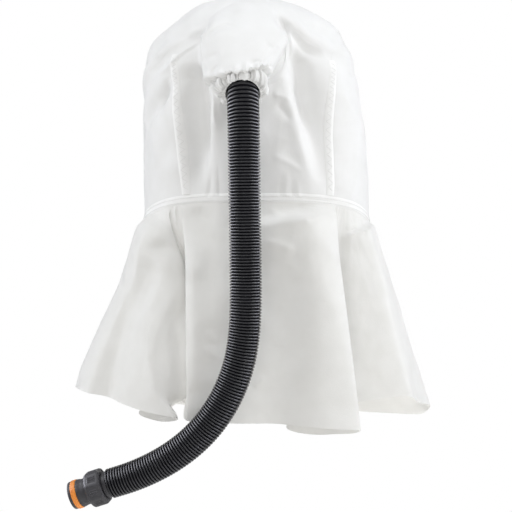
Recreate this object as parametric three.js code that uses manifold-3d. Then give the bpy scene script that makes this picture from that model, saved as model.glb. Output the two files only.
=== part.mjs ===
// Respirator hood in the form it has when worn: a cloth crown and walls, a clear visor, a long folded
// cape, and a breathing hose that leaves a gathered sleeve on the back and ends in a bayonet coupling.
// Millimetres, +Z up, +Y the way the wearer faces, origin inside the top of the crown.
import * as THREE from "three";
import { mergeVertices } from "three/addons/utils/BufferGeometryUtils.js";
import Module from "manifold-3d";

// Sheet thicknesses and the clearances between sewn neighbours.
const CLOTH = 1.2;
const VISOR_SHEET = 0.9;
const TAPE_SHEET = 0.7;
const SEWN_GAP = 0.5;
const FACE_GAP = 0.3;

// Plan section of the hood: 2 is an ellipse, larger is squarer.
const SQUARENESS = 2.3;
// The hood wall from the apex to the neck seam. z is the height at the back of the section, left to
// front are its reaches from the axis, and drop is how much lower the section lies at the front.
const HOOD_LEVELS = [
  { level: 0, z: 1.2, left: 0, right: 0, back: 0, front: 0, drop: 0 },
  { level: 1, z: 0.4, left: 38, right: 26, back: 34, front: 40, drop: 0 },
  { level: 2, z: -3, left: 60, right: 42, back: 52, front: 62, drop: 0 },
  { level: 3, z: -12, left: 78, right: 65, back: 72, front: 84, drop: 0 },
  { level: 4, z: -31, left: 102, right: 99, back: 93, front: 112, drop: 0 },
  { level: 5, z: -54, left: 128, right: 113, back: 106, front: 132, drop: 2 },
  { level: 6, z: -84, left: 136, right: 126, back: 113, front: 147, drop: 8 },
  { level: 7, z: -121, left: 137, right: 133, back: 116, front: 156, drop: 24 },
  { level: 8, z: -180, left: 137, right: 142, back: 116, front: 160, drop: 54 },
  { level: 9, z: -240, left: 137, right: 143, back: 114, front: 158, drop: 80 },
];
const NECK_LEVEL = 9;
// Height of the crown's rim round the hood. Angles are in degrees from the back towards +X.
const CROWN_RIM = [
  { angle: -180, z: -100 },
  { angle: -125, z: -116 },
  { angle: -90, z: -112 },
  { angle: -60, z: -77 },
  { angle: -36, z: -47 },
  { angle: 0, z: -32 },
  { angle: 28, z: -31 },
  { angle: 42, z: -57 },
  { angle: 58, z: -69 },
  { angle: 85, z: -78 },
  { angle: 125, z: -108 },
  { angle: 180, z: -100 },
];
// The crown rolls out over its rim and the wall tucks in below it, most at the back.
const BROW = { roll: 5, above: 9, below: 9, spread: 9 };
// The two taped seams, as angles down the wall.
const BACK_SEAMS = [
  { level: 4, left: -46, right: 52 },
  { level: 5.4, left: -45, right: 51 },
  { level: 6.8, left: -43, right: 46 },
  { level: 7.7, left: -40.5, right: 44 },
  { level: 9, left: -36.5, right: 43.5 },
];
const VISOR_EDGE = 128;
// Facets across each panel, and down all of them.
const BACK_COLUMNS = 20;
const SIDE_COLUMNS = 10;
const VISOR_COLUMNS = 10;
const WALL_ROWS = 9;
// How much the rows crowd towards the rim, where the cloth rolls over: 1 is evenly spaced.
const RIM_CROWDING = 1.5;
// Dents and ridges of the wall: where the middle is, its half length and half width, how far its long
// axis leans towards +X going down, and how far it stands out (negative is a dent).
const WALL_FOLDS = [
  { angle: -33, z: -150, length: 68, width: 15, lean: 3, out: -14 },
  { angle: -23, z: -148, length: 56, width: 9, lean: -11, out: 7 },
  { angle: 30, z: -128, length: 58, width: 12, lean: 12, out: -13 },
  { angle: 24, z: -158, length: 55, width: 9, lean: 16, out: 6 },
  { angle: -5, z: -165, length: 60, width: 30, lean: 0, out: 4 },
  { angle: -62, z: -127, length: 36, width: 10, lean: -55, out: -7 },
  { angle: -68, z: -52, length: 30, width: 13, lean: 40, out: -4 },
  { angle: 44, z: -38, length: 30, width: 12, lean: -48, out: -4 },
];
const WALL_RADIUS = 122;

// Seam tapes and the neck band.
const TAPE_WIDTH = 10;
const TAPE_GAP = 0.9;
const BAND_HEIGHT = 9;
const BAND_SHEET = 1;
const BAND_GAP = 0.8;

// The cape's hem, station by station from the left side round the back to the front. neck is the angle
// on the neck seam that the station hangs from.
const HEM = [
  { neck: -88, x: -226, y: 5, z: -484 },
  { neck: -66, x: -175, y: -70, z: -486 },
  { neck: -54, x: -129, y: -118, z: -491 },
  { neck: -45, x: -89, y: -138, z: -498 },
  { neck: -43.5, x: -112, y: -105, z: -507 },
  { neck: -42, x: -138, y: -84, z: -501 },
  { neck: -40, x: -112, y: -72, z: -489 },
  { neck: -37.5, x: -86, y: -82, z: -488 },
  { neck: -34, x: -79, y: -138, z: -500.5 },
  { neck: -22, x: -45.5, y: -143, z: -503 },
  { neck: 12, x: 36.5, y: -147, z: -504 },
  { neck: 30, x: 89, y: -143, z: -506.5 },
  { neck: 44, x: 126.5, y: -130, z: -510 },
  { neck: 46, x: 84, y: -117, z: -521 },
  { neck: 48.5, x: 40, y: -92, z: -517 },
  { neck: 51, x: 74, y: -78, z: -492 },
  { neck: 56, x: 130, y: -76, z: -487 },
  { neck: 66, x: 184, y: -45, z: -482 },
  { neck: 73, x: 196, y: -30, z: -494 },
  { neck: 88, x: 222, y: 15, z: -509 },
  { neck: 104, x: 222, y: 62, z: -528 },
  { neck: 116, x: 204, y: 90, z: -534 },
  { neck: 132, x: 145, y: 130, z: -538 },
  { neck: 156, x: 60, y: 178, z: -542 },
  { neck: 180, x: 0, y: 190, z: -544 },
  { neck: 204, x: -60, y: 178, z: -540 },
  { neck: 228, x: -140, y: 135, z: -525 },
  { neck: 252, x: -200, y: 75, z: -500 },
];
const CAPE_FLARE = 1.06;

// Breathing hose, its route from the elbow to the coupling, and the coupling's sizes along its axis.
const HOSE_RADIUS = 18.5;
const HOSE_BORE = 14.5;
const HOSE_SIDES = 10;
const HOSE_STEPS = 22;
const HOSE_ROUTE = [
  [-13, -146.5, -92],
  [-12.5, -152.5, -118],
  [-11.9, -157.5, -144],
  [-11.4, -161, -171],
  [-11, -163.3, -199],
  [-10.6, -164.8, -227],
  [-10.2, -165.8, -255],
  [-9.8, -166.5, -283],
  [-9.5, -167.1, -311],
  [-9.3, -167.6, -339],
  [-9.6, -168.1, -367],
  [-11.3, -168.5, -395],
  [-15.7, -168.8, -422.6],
  [-23.8, -168.8, -449.4],
  [-35.8, -168.3, -474.7],
  [-51.4, -167, -497.9],
  [-70.4, -164.9, -518.5],
  [-92.2, -162.1, -536.1],
  [-116.1, -158.6, -550.7],
  [-141.4, -154.5, -562.6],
  [-167.8, -150, -572.1],
];
const CUFF = { length: 5.2, radius: 17.5 };
const GRIP = { length: 20.5, flats: 40.5, chamfer: 2.5, sides: 8 };
const SPIGOT = { length: 21.5, radius: 16.5, bore: 12.5, core: 14 };
const EDGE_BREAK = 0.9;
const GASKET = { from: 11.5, length: 6.3, radius: 17.1, seat: 15 };
const TURNED_SIDES = 20;

// Sleeve over the top of the hose: the loop where it is sewn on, and eight ribs from that loop to the
// mouth, each with its belly and the brink where the cloth turns in to the gathers.
const SLEEVE_ROOT = { angle: -6, z: -63, spread: 26, reach: 44, squareness: 3, flange: 1.08, gap: 0.9 };
const SLEEVE_STEPS = { root: 0.1, belly: 0.45, brink: 0.8 };
const SLEEVE_RIBS = [
  { around: 0, bellyX: -12, bellyY: -131, bellyZ: -38, brinkX: -12, brinkY: -171, brinkZ: -88 },
  { around: 45, bellyX: 28, bellyY: -127, bellyZ: -44, brinkX: 16, brinkY: -164, brinkZ: -88 },
  { around: 90, bellyX: 42, bellyY: -123, bellyZ: -66, brinkX: 30, brinkY: -148, brinkZ: -90 },
  { around: 135, bellyX: 30, bellyY: -122, bellyZ: -94, brinkX: 16, brinkY: -134, brinkZ: -103 },
  { around: 180, bellyX: -12, bellyY: -122, bellyZ: -112, brinkX: -13, brinkY: -127, brinkZ: -110 },
  { around: 225, bellyX: -52, bellyY: -123, bellyZ: -104, brinkX: -42, brinkY: -137, brinkZ: -110 },
  { around: 270, bellyX: -64, bellyY: -125, bellyZ: -74, brinkX: -55, brinkY: -150, brinkZ: -100 },
  { around: 315, bellyX: -54, bellyY: -128, bellyZ: -46, brinkX: -44, brinkY: -166, brinkZ: -92 },
];
const SLEEVE_MOUTH = { along: 14, gathers: 14, depth: 2.6, start: 0.5, settle: 0.9 };

// Hidden elbow from the hood wall down to the hose.
const ELBOW = { radius: 14, bore: 11, inner: -102, z: -68, steps: 6, clearance: 0.9 };

const wasm = await Module();
wasm.setup();

const cloth = new THREE.MeshStandardMaterial({ color: 0xf4f4f1, roughness: 0.75 });
const tape = new THREE.MeshStandardMaterial({ color: 0xececea, roughness: 0.7 });
const clear = new THREE.MeshStandardMaterial({
  color: 0xdfe8ea, roughness: 0.1, transparent: true, opacity: 0.35,
});
const black = new THREE.MeshStandardMaterial({ color: 0x222327, roughness: 0.45 });
const charcoal = new THREE.MeshStandardMaterial({ color: 0x3c3c40, roughness: 0.5 });
const orange = new THREE.MeshStandardMaterial({ color: 0xe8892c, roughness: 0.55 });

const { clamp, degToRad, euclideanModulo, lerp, smoothstep } = THREE.MathUtils;

// A column of a table at some key, on the smooth cubic through its rows.
function lookUp(rows, key, column, at) {
  const last = rows.length - 1;
  const next = rows.findIndex((row) => row[key] > at);
  const i = clamp((next < 0 ? last : next) - 1, 0, last - 1);
  const slope = (k) => {
    const before = rows[Math.max(k - 1, 0)];
    const after = rows[Math.min(k + 1, last)];
    return (after[column] - before[column]) / (after[key] - before[key]);
  };
  const span = rows[i + 1][key] - rows[i][key];
  const t = (at - rows[i][key]) / span;
  const start = rows[i][column] * (1 + 2 * t) * (1 - t) ** 2;
  const end = rows[i + 1][column] * t * t * (3 - 2 * t);
  return start + end + span * t * (1 - t) * (slope(i) * (1 - t) - slope(i + 1) * t);
}

// The same rows a turn before and a turn after, for a table that runs round a loop.
function roundAndRound(rows, key) {
  return [-360, 0, 360].flatMap((turn) => rows.map((row) => ({ ...row, [key]: row[key] + turn })));
}

// Angle in degrees brought to the range from -180 to 180.
function halfTurn(angle) {
  return euclideanModulo(angle + 180, 360) - 180;
}

function rimHeight(angle) {
  return lookUp(CROWN_RIM, "angle", "z", halfTurn(angle));
}

// Level whose section has this height at the back, by halving the range.
function levelAtHeight(z) {
  const halvings = 24;
  let low = 0;
  let high = NECK_LEVEL;
  for (let step = 0; step < halvings; step += 1) {
    const middle = (low + high) / 2;
    if (lookUp(HOOD_LEVELS, "level", "z", middle) > z) low = middle;
    else high = middle;
  }
  return low;
}

// Sum of the wall's dents and ridges at a place.
function wallFolds(angle, z) {
  return WALL_FOLDS.reduce((sum, fold) => {
    const across = degToRad(halfTurn(angle - fold.angle)) * WALL_RADIUS;
    const down = fold.z - z;
    const lean = degToRad(fold.lean);
    const length = (down * Math.cos(lean) + across * Math.sin(lean)) / fold.length;
    const width = (across * Math.cos(lean) - down * Math.sin(lean)) / fold.width;
    return sum + fold.out * Math.exp(-length * length - width * width);
  }, 0);
}

// The roll of cloth over the crown's rim and the tuck under it.
function browRoll(angle, z) {
  const above = (z - rimHeight(angle) - BROW.above) / BROW.spread;
  const below = (z - rimHeight(angle) + BROW.below) / BROW.spread;
  const share = (1 + Math.cos(degToRad(angle))) / 2;
  return BROW.roll * share * (Math.exp(-above * above) - Math.exp(-below * below));
}

// Length of a pair of numbers by a power: 2 gives a circle's, larger gives a rounded square's.
function rounded(a, b, power) {
  return (Math.abs(a) ** power + Math.abs(b) ** power) ** (1 / power);
}

// Point of the hood's outer surface at an angle from the back, in degrees, and a level.
function hoodPoint(angle, level) {
  const least = 0.01;
  const row = (column) => lookUp(HOOD_LEVELS, "level", column, level);
  const sine = Math.sin(degToRad(angle));
  const cosine = Math.cos(degToRad(angle));
  const side = Math.max(row(sine < 0 ? "left" : "right"), least);
  const depth = Math.max(row(cosine > 0 ? "back" : "front"), least);
  const plan = 1 / rounded(sine / side, cosine / depth, SQUARENESS);
  const height = row("z");
  const reach = plan + wallFolds(angle, height) + browRoll(angle, height);
  return new THREE.Vector3(reach * sine, -reach * cosine, height - row("drop") * (1 - cosine) / 2);
}

// Outward unit normal of a surface whose u runs anticlockwise from above and whose v runs down.
function normalAt(pointAt, u, v) {
  const step = 0.002;
  const along = pointAt(u + step, v).sub(pointAt(u - step, v));
  const from = Math.max(v - step, 0);
  const to = Math.min(v + step, 1);
  const down = pointAt(u, to).sub(pointAt(u, from));
  return down.cross(along).normalize();
}

// The surface moved outwards by a height.
function raised(pointAt, height) {
  return (u, v) => pointAt(u, v).addScaledVector(normalAt(pointAt, u, v), height);
}

// Closed wall between the surface pointAt(u, v) and the same surface moved in by the thickness. A ring
// joins its first and last columns, and a pole draws its first row together into one point.
function wall(pointAt, { columns, rows, thickness, ring = false, pole = false }) {
  const across = ring ? columns : columns + 1;
  const positions = [];
  const triangles = [];
  const layer = across * (rows + 1);
  const index = (side, i, j) => side * layer + j * across + (pole && j === 0 ? 0 : i % across);
  for (const inset of [0, thickness]) {
    for (let j = 0; j <= rows; j += 1) {
      for (let i = 0; i < across; i += 1) {
        const [u, v] = [i / columns, j / rows];
        const normal = pole && j === 0 ? new THREE.Vector3(0, 0, 1) : normalAt(pointAt, u, v);
        positions.push(...pointAt(u, v).addScaledVector(normal, -inset));
      }
    }
  }
  const triangle = (a, b, c) => {
    if (a !== b && b !== c && c !== a) triangles.push(a, b, c);
  };
  const quad = (a, b, c, d) => {
    triangle(a, b, c);
    triangle(a, c, d);
  };
  for (let j = 0; j < rows; j += 1) {
    for (let i = 0; i < columns; i += 1) {
      quad(index(0, i, j), index(0, i, j + 1), index(0, i + 1, j + 1), index(0, i + 1, j));
      quad(index(1, i, j), index(1, i + 1, j), index(1, i + 1, j + 1), index(1, i, j + 1));
    }
  }
  for (let i = 0; i < columns; i += 1) {
    if (!pole) quad(index(0, i, 0), index(0, i + 1, 0), index(1, i + 1, 0), index(1, i, 0));
    quad(index(0, i + 1, rows), index(0, i, rows), index(1, i, rows), index(1, i + 1, rows));
  }
  for (let j = 0; j < rows && !ring; j += 1) {
    quad(index(0, 0, j + 1), index(0, 0, j), index(1, 0, j), index(1, 0, j + 1));
    quad(index(0, columns, j), index(0, columns, j + 1), index(1, columns, j + 1), index(1, columns, j));
  }
  const used = [...new Set(triangles)];
  const place = new Map(used.map((old, k) => [old, k]));
  const geometry = new THREE.BufferGeometry();
  const kept = used.flatMap((old) => positions.slice(3 * old, 3 * old + 3));
  geometry.setAttribute("position", new THREE.Float32BufferAttribute(kept, 3));
  geometry.setIndex(triangles.map((old) => place.get(old)));
  return geometry;
}

// Solid for cutting, made of a geometry's merged triangles.
function solid(geometry) {
  const bare = geometry.clone();
  bare.deleteAttribute("normal");
  bare.deleteAttribute("uv");
  const merged = mergeVertices(bare);
  const vertProperties = new Float32Array(merged.attributes.position.array);
  const triVerts = new Uint32Array(merged.index.array);
  return new wasm.Manifold(new wasm.Mesh({ numProp: 3, vertProperties, triVerts }));
}

function cut(geometry, tool) {
  const mesh = solid(geometry).subtract(solid(tool)).getMesh();
  const result = new THREE.BufferGeometry();
  result.setAttribute("position", new THREE.Float32BufferAttribute(mesh.vertProperties, 3));
  result.setIndex([...mesh.triVerts]);
  return result;
}

// Regular polygon round the origin, as points of an outline.
function polygon(radius, sides) {
  return Array.from({ length: sides }, (_, k) => {
    const angle = (2 * Math.PI * k) / sides;
    return new THREE.Vector2(radius * Math.cos(angle), radius * Math.sin(angle));
  });
}

// Round tube along a path, hollow where it has a bore.
function tube(path, radius, bore, sides, steps) {
  const section = new THREE.Shape(polygon(radius, sides));
  if (bore > 0) section.holes.push(new THREE.Path(polygon(bore, sides).reverse()));
  return new THREE.ExtrudeGeometry(section, { steps, extrudePath: path });
}

// Ring turned from a closed outline of [radius, distance along the axis] corners.
function turned(outline, segments) {
  const corners = [...outline, outline[0]].map(([radius, along]) => new THREE.Vector2(radius, along));
  return new THREE.LatheGeometry(corners, segments);
}

const SEAM_CLEARANCE = (SEWN_GAP / WALL_RADIUS) * (90 / Math.PI);
const leftSeam = (level) => lookUp(BACK_SEAMS, "level", "left", level);
const rightSeam = (level) => lookUp(BACK_SEAMS, "level", "right", level);

// Level of the crown's rim at an angle, moved down by a clearance.
function rimLevel(angle, clearance) {
  return levelAtHeight(rimHeight(angle) - clearance);
}

// Angle where a seam meets the crown's rim, closing in from the seam's middle.
function seamTop(seamAt) {
  const passes = 12;
  let angle = seamAt(NECK_LEVEL);
  for (let pass = 0; pass < passes; pass += 1) angle = seamAt(rimLevel(angle, 0));
  return angle;
}

// Panel of the wall between two edges, each an angle that follows the level, from rim to neck seam.
function wallPanel(leftAt, rightAt) {
  const leftTop = seamTop(leftAt);
  const rightTop = seamTop(rightAt);
  const levelBelow = (top, v) => lerp(rimLevel(top, SEWN_GAP / 2), NECK_LEVEL, v ** RIM_CROWDING);
  return (u, v) => {
    const left = leftAt(levelBelow(leftTop, v));
    const right = rightAt(levelBelow(rightTop, v));
    return hoodPoint(lerp(left, right, u), levelBelow(lerp(leftTop, rightTop, u), v));
  };
}

// Stretches of the rim above each panel, so that the crown's facets meet the panels' facets.
const RIM_STRETCHES = [
  { from: -VISOR_EDGE, to: seamTop(leftSeam), columns: SIDE_COLUMNS },
  { from: seamTop(leftSeam), to: seamTop(rightSeam), columns: BACK_COLUMNS },
  { from: seamTop(rightSeam), to: VISOR_EDGE, columns: SIDE_COLUMNS },
  { from: VISOR_EDGE, to: 360 - VISOR_EDGE, columns: VISOR_COLUMNS },
];
const RIM_COLUMNS = RIM_STRETCHES.reduce((sum, stretch) => sum + stretch.columns, 0);

// Angle of a place round the crown, counted in columns over the stretches.
function rimAngle(u) {
  let left = euclideanModulo(u, 1) * RIM_COLUMNS;
  const stretch = RIM_STRETCHES.find(({ columns }) => {
    left -= columns;
    return left < 0;
  });
  return lerp(stretch.to, stretch.from, -left / stretch.columns);
}

function crownSurface(u, v) {
  const angle = rimAngle(u);
  return hoodPoint(angle, (1 - (1 - v) ** RIM_CROWDING) * rimLevel(angle, -SEWN_GAP / 2));
}

// Strip of tape over a seam, from just under the rim to the neck band.
function tapeSurface(seamAt) {
  const strip = (u, v) => {
    const top = rimLevel(seamTop(seamAt), TAPE_WIDTH);
    const bottom = levelAtHeight(HOOD_LEVELS[NECK_LEVEL].z + BAND_HEIGHT / 2 + SEWN_GAP);
    const level = lerp(top, bottom, v);
    return hoodPoint(seamAt(level) + ((u - 0.5) * TAPE_WIDTH * 180) / (Math.PI * WALL_RADIUS), level);
  };
  return raised(strip, TAPE_GAP + TAPE_SHEET);
}

// The hem as a closed curve through its stations, and the neck angle that each place hangs from.
const hemCurve = new THREE.CatmullRomCurve3(HEM.map(({ x, y, z }) => new THREE.Vector3(x, y, z)), true);
const hemLoop = [...HEM, { ...HEM[0], neck: HEM[0].neck + 360 }];
const hemNecks = hemLoop.map(({ neck }, station) => ({ neck, station }));

// Cape: straight lines from the neck seam to the hem, flaring a little more towards the hem.
function capeSurface(u, v) {
  const turn = euclideanModulo(u, 1);
  const neck = hoodPoint(lookUp(hemNecks, "station", "neck", turn * HEM.length), NECK_LEVEL);
  const hem = hemCurve.getPoint(turn);
  const spread = v ** CAPE_FLARE;
  return new THREE.Vector3(
    lerp(neck.x, hem.x, spread),
    lerp(neck.y, hem.y, spread),
    lerp(neck.z - SEWN_GAP, hem.z, v),
  );
}

// Band over the neck seam: its upper half lies on the wall and its lower half on the cape.
function bandSurface(u, v) {
  const evenAngle = HEM[0].neck + 360 * euclideanModulo(u, 1);
  const turn = lookUp(hemNecks, "neck", "station", evenAngle) / HEM.length;
  const angle = lookUp(hemNecks, "station", "neck", turn * HEM.length);
  const neck = hoodPoint(angle, NECK_LEVEL);
  const below = (v - 0.5) * BAND_HEIGHT;
  const onCape = capeSurface(turn, Math.max(below, 0) / (neck.z - hemCurve.getPoint(turn).z));
  const onWall = hoodPoint(angle, levelAtHeight(HOOD_LEVELS[NECK_LEVEL].z - below));
  const place = below > 0 ? onCape : onWall;
  const outwards = new THREE.Vector3(Math.sin(degToRad(angle)), -Math.cos(degToRad(angle)), 0);
  place.addScaledVector(outwards, BAND_GAP + BAND_SHEET);
  place.z = neck.z - below;
  return place;
}

const hosePath = new THREE.CatmullRomCurve3(HOSE_ROUTE.map((point) => new THREE.Vector3(...point)));

// The elbow leaves the wall level, turns down and meets the hose end to end.
const [hoseTop] = hosePath.points;
const hoseAxis = hosePath.getTangent(0);
const elbowPath = new THREE.QuadraticBezierCurve3(
  new THREE.Vector3(hoseTop.x, ELBOW.inner, ELBOW.z),
  hoseTop.clone().addScaledVector(hoseAxis, (ELBOW.z - hoseTop.z) / hoseAxis.z),
  hoseTop.clone().addScaledVector(hoseAxis, -FACE_GAP),
);

// The ring round the hose that the sleeve's mouth is drawn in to: near is its side away from the hood.
const mouthShare = SLEEVE_MOUTH.along / hosePath.getLength();
const mouthCentre = hosePath.getPointAt(mouthShare);
const mouthAxis = hosePath.getTangentAt(mouthShare);
const mouthNear = mouthAxis.clone().cross(new THREE.Vector3(1, 0, 0)).normalize();
const mouthSide = mouthNear.clone().cross(mouthAxis);

const sleeveRibs = roundAndRound(SLEEVE_RIBS, "around");

// Sleeve: each rib runs from its flange on the hood over belly and brink to the gathered mouth.
function sleeveSurface(u, v) {
  const around = 360 * u;
  const sine = Math.sin(degToRad(around));
  const cosine = Math.cos(degToRad(around));
  const corner = 1 / rounded(sine, cosine, SLEEVE_ROOT.squareness);
  const sewn = (scale) => {
    const angle = SLEEVE_ROOT.angle + SLEEVE_ROOT.spread * scale * corner * sine;
    const level = levelAtHeight(SLEEVE_ROOT.z + SLEEVE_ROOT.reach * scale * corner * cosine);
    const nearby = (a, b) => hoodPoint(angle + a, level + b);
    return raised(nearby, SLEEVE_ROOT.gap + CLOTH)(0, 0);
  };
  const rib = (column) => lookUp(sleeveRibs, "around", column, around);
  const gathered = SLEEVE_MOUTH.depth * (0.5 + 0.5 * Math.cos(degToRad(around * SLEEVE_MOUTH.gathers)));
  const mouthRadius = HOSE_RADIUS + FACE_GAP + CLOTH + gathered;
  const rise = smoothstep(v, SLEEVE_MOUTH.start, 1);
  const swell = gathered * rise * (1 - smoothstep(v, SLEEVE_MOUTH.settle, 1));
  const flange = sewn(SLEEVE_ROOT.flange);
  const root = sewn(1);
  const mouth = mouthCentre.clone()
    .addScaledVector(mouthSide, mouthRadius * sine)
    .addScaledVector(mouthNear, mouthRadius * cosine);
  const stations = [
    { v: 0, x: flange.x, y: flange.y, z: flange.z },
    { v: SLEEVE_STEPS.root, x: root.x, y: root.y, z: root.z },
    { v: SLEEVE_STEPS.belly, x: rib("bellyX"), y: rib("bellyY"), z: rib("bellyZ") },
    { v: SLEEVE_STEPS.brink, x: rib("brinkX"), y: rib("brinkY"), z: rib("brinkZ") },
    { v: 1, x: mouth.x, y: mouth.y, z: mouth.z },
  ];
  return new THREE.Vector3(
    lookUp(stations, "v", "x", v) + swell * sine,
    lookUp(stations, "v", "y", v) - swell * cosine,
    lookUp(stations, "v", "z", v),
  );
}

// A panel's solid, set back from its seams on both sides.
function panelWall(leftAt, rightAt, columns, thickness) {
  const surface = wallPanel(
    (level) => leftAt(level) + SEAM_CLEARANCE,
    (level) => rightAt(level) - SEAM_CLEARANCE,
  );
  return wall(surface, { columns, rows: WALL_ROWS, thickness });
}

function backPanel() {
  const panel = panelWall(leftSeam, rightSeam, BACK_COLUMNS, CLOTH);
  const hole = tube(elbowPath, ELBOW.radius + ELBOW.clearance, 0, HOSE_SIDES, ELBOW.steps);
  return cut(panel, hole);
}

// Coupling on the hose's end, along +Y of its own group.
function coupling() {
  const group = new THREE.Group();
  const gripFrom = CUFF.length + FACE_GAP;
  const shoulder = gripFrom + GRIP.length + FACE_GAP;
  const tip = shoulder + SPIGOT.length;
  const groove = shoulder + GASKET.from;
  const corner = GRIP.flats / 2 / Math.cos(Math.PI / GRIP.sides);
  const gripBore = (SPIGOT.core + FACE_GAP) / Math.cos(Math.PI / GRIP.sides);
  const gripTo = gripFrom + GRIP.length;
  const gasketTo = groove + GASKET.length;
  const cuff = [
    [SPIGOT.bore, FACE_GAP],
    [CUFF.radius - EDGE_BREAK, FACE_GAP],
    [CUFF.radius, FACE_GAP + EDGE_BREAK],
    [CUFF.radius, CUFF.length],
    [SPIGOT.bore, CUFF.length],
  ];
  const grip = [
    [gripBore, gripFrom],
    [corner - GRIP.chamfer, gripFrom],
    [corner, gripFrom + GRIP.chamfer],
    [corner, gripTo - EDGE_BREAK],
    [corner - EDGE_BREAK, gripTo],
    [gripBore, gripTo],
  ];
  const spigot = [
    [SPIGOT.bore, gripFrom],
    [SPIGOT.core, gripFrom],
    [SPIGOT.core, shoulder],
    [SPIGOT.radius, shoulder],
    [SPIGOT.radius, groove],
    [GASKET.seat, groove],
    [GASKET.seat, gasketTo],
    [SPIGOT.radius, gasketTo],
    [SPIGOT.radius, tip - EDGE_BREAK],
    [SPIGOT.radius - EDGE_BREAK, tip],
    [SPIGOT.bore, tip],
  ];
  const gasket = [
    [GASKET.seat + FACE_GAP, groove + FACE_GAP],
    [GASKET.radius, groove + FACE_GAP],
    [GASKET.radius, gasketTo - FACE_GAP],
    [GASKET.seat + FACE_GAP, gasketTo - FACE_GAP],
  ];
  group.add(
    named("hose_cuff", turned(cuff, TURNED_SIDES), charcoal),
    named("coupling_grip", turned(grip, GRIP.sides), charcoal),
    named("coupling_spigot", turned(spigot, TURNED_SIDES), charcoal),
    named("coupling_gasket", turned(gasket, TURNED_SIDES), orange),
  );
  group.position.copy(hosePath.points.at(-1));
  group.quaternion.setFromUnitVectors(new THREE.Vector3(0, 1, 0), hosePath.getTangent(1));
  return group;
}

function named(name, geometry, material) {
  const mesh = new THREE.Mesh(geometry, material);
  mesh.name = name;
  return mesh;
}

const visorLeft = () => -VISOR_EDGE;
const visorRight = () => VISOR_EDGE;
const visorRound = () => 360 - VISOR_EDGE;
const crownFacets = { columns: RIM_COLUMNS, rows: 6, thickness: CLOTH, ring: true, pole: true };
const tapeFacets = { columns: 2, rows: 9, thickness: TAPE_SHEET };
const bandFacets = { columns: 56, rows: 2, thickness: BAND_SHEET, ring: true };
const capeFacets = { columns: 112, rows: 7, thickness: CLOTH, ring: true };
const sleeveFacets = { columns: 56, rows: 7, thickness: CLOTH, ring: true };

const hood = new THREE.Group();
hood.add(
  named("crown", wall(crownSurface, crownFacets), cloth),
  named("back_panel", backPanel(), cloth),
  named("side_panel_left", panelWall(visorLeft, leftSeam, SIDE_COLUMNS, CLOTH), cloth),
  named("side_panel_right", panelWall(rightSeam, visorRight, SIDE_COLUMNS, CLOTH), cloth),
  named("visor", panelWall(visorRight, visorRound, VISOR_COLUMNS, VISOR_SHEET), clear),
  named("seam_tape_left", wall(tapeSurface(leftSeam), tapeFacets), tape),
  named("seam_tape_right", wall(tapeSurface(rightSeam), tapeFacets), tape),
  named("neck_band", wall(bandSurface, bandFacets), tape),
  named("cape", wall(capeSurface, capeFacets), cloth),
  named("hose_sleeve", wall(sleeveSurface, sleeveFacets), cloth),
  named("hose_elbow", tube(elbowPath, ELBOW.radius, ELBOW.bore, HOSE_SIDES, ELBOW.steps), charcoal),
  named("hose", tube(hosePath, HOSE_RADIUS, HOSE_BORE, HOSE_SIDES, HOSE_STEPS), black),
  coupling(),
);

export default hood;
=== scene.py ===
import math
from collections import namedtuple

import bpy
import numpy as np
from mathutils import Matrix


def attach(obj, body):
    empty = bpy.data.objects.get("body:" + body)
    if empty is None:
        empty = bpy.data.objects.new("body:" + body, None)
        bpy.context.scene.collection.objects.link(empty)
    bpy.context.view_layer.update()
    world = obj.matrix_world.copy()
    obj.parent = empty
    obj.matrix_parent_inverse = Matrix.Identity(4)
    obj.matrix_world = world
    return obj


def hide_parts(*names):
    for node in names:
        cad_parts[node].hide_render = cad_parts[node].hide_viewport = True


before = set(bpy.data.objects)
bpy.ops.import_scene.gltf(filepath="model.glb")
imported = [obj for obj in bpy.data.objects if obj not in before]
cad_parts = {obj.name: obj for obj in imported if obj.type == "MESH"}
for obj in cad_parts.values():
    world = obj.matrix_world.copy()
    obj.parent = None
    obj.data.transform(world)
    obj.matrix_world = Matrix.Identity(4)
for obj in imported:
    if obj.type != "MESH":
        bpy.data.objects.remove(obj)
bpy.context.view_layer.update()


# Camera: stands behind the hood at the height of its neck and looks slightly down. Its long lens keeps the
# upright lines of the hood nearly parallel.
camera_place = (0.0025, -1.8, -0.184)
camera_dip = 4.226
camera_lens = 100.97
camera_sensor = 36

camera = bpy.data.objects.new("camera", bpy.data.cameras.new("camera"))
camera.data.lens = camera_lens
camera.data.sensor_width = camera_sensor
camera.location = camera_place
camera.rotation_euler = (math.radians(90 - camera_dip), 0, 0)
bpy.context.scene.collection.objects.link(camera)
bpy.context.scene.camera = camera


# Breathing hose: a black rubber tube moulded in close rounded rings, about 37 mm across outside.
# It hangs from the sleeve down the middle of the back, then bends away to the wearer's left. Its rings are
# pulled apart a little at the top, where its weight hangs, and their crests are rubbed to a shine.
mm = 0.001
hose_route = np.round(mm * np.array([
    (-13, -146.5, -92), (-12.5, -152.5, -118), (-11.9, -157.5, -144), (-11.4, -161, -171),
    (-11, -163.3, -199), (-10.6, -164.8, -227), (-10.2, -165.8, -255), (-9.8, -166.5, -283),
    (-9.5, -167.1, -311), (-9.3, -167.6, -339), (-9.6, -168.1, -367), (-11.3, -168.5, -395),
    (-15.7, -168.8, -422.6), (-23.8, -168.8, -449.4), (-35.8, -168.3, -474.7), (-51.4, -167, -497.9),
    (-70.4, -164.9, -518.5), (-92.2, -162.1, -536.1), (-116.1, -158.6, -550.7), (-141.4, -154.5, -562.6),
    (-167.8, -150, -572.1),
]), 6)
hose_crest = 0.0185
hose_groove = 0.0155
hose_bore = 0.0145
hose_end_taper = 0.0009
hose_taper_start = 0.4
hose_samples = 4000
ring_pitch = 0.00345
ring_stretch = 0.0016
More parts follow.
